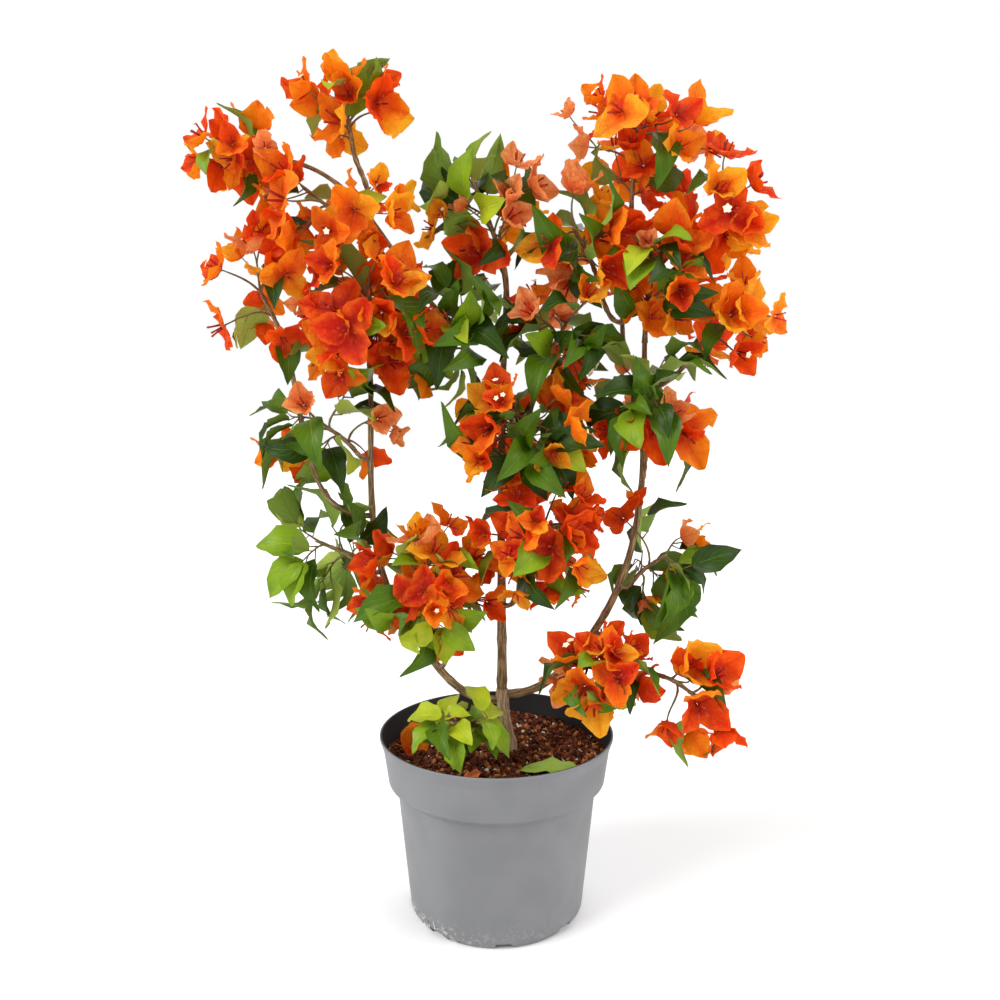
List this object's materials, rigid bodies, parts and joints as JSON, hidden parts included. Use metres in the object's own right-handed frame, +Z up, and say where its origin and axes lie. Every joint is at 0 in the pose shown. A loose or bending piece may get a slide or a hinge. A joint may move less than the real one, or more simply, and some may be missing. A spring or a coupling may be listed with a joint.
{
  "type": "bougainvillea shrub in a nursery pot",
  "caption": "Flowering climbing shrub grown as a flat fan: a short forked trunk, slender boughs and masses of orange papery bracts and green leaves, rooted in a round pot of soil.",
  "frame": {"origin": "middle of the pot's flat underside", "axes": "+Z up, X along the flat fan of boughs with +X to the right seen from the front, and -Y out of the front of the fan"},
  "size_m": [0.4093, 0.17, 0.6051],
  "materials": {
    "pot_plastic": "thermoformed grey polypropylene, satin, with a faint lime scuff low down",
    "potting_soil": "coarse red-brown peat and coir with white perlite",
    "bark": "grey-brown young bark with fine lengthwise cracks and pale lenticels",
    "flowering_shoots": "papery orange bracts with a fine vein net",
    "leafy_shoots": "dark green leaves with a soft waxy gloss"
  },
  "bodies": {
    "root": {"pot": "pot_plastic", "soil": "potting_soil", "trunk": "bark", "middle_bough": "bark", "left_arm": "bark", "left_bough": "bark", "right_arm": "bark", "right_bough": "bark", "plume_bough": "bark", "dome_bough": "bark", "plume_tip_branch": "bark", "plume_heart_branch": "bark", "left_flank_branch": "bark", "dome_right_branch": "bark", "dome_left_branch": "bark", "right_flank_branch": "bark", "centre_leaves_branch": "bark", "centre_right_leaves_branch": "bark", "middle_blossom_branch": "bark", "lower_blossom_branch": "bark", "lower_left_blossom_branch": "bark", "left_leaves_branch": "bark", "left_upper_leaves_branch": "bark", "right_leaves_upper_branch": "bark", "right_leaves_lower_branch": "bark", "low_spray_near_branch": "bark", "low_spray_far_branch": "bark", "pot_shoots_branch": "bark", "plume_tip": "flowering_shoots", "plume_left": "flowering_shoots", "plume_heart": "flowering_shoots", "left_cascade": "flowering_shoots", "left_flank": "flowering_shoots", "top_centre": "flowering_shoots", "dome_crest": "flowering_shoots", "dome_right": "flowering_shoots", "dome_left": "flowering_shoots", "dome_heart": "flowering_shoots", "right_flank": "flowering_shoots", "centre_leaves": "leafy_shoots", "centre_right_leaves": "leafy_shoots", "middle_blossom": "flowering_shoots", "lower_blossom": "flowering_shoots", "lower_left_blossom": "flowering_shoots", "left_leaves": "leafy_shoots", "left_upper_leaves": "leafy_shoots", "right_leaves_upper": "leafy_shoots", "right_leaves_lower": "leafy_shoots", "low_spray_near": "flowering_shoots", "low_spray_far": "flowering_shoots", "pot_shoots": "leafy_shoots"}
  },
  "joints": []
}
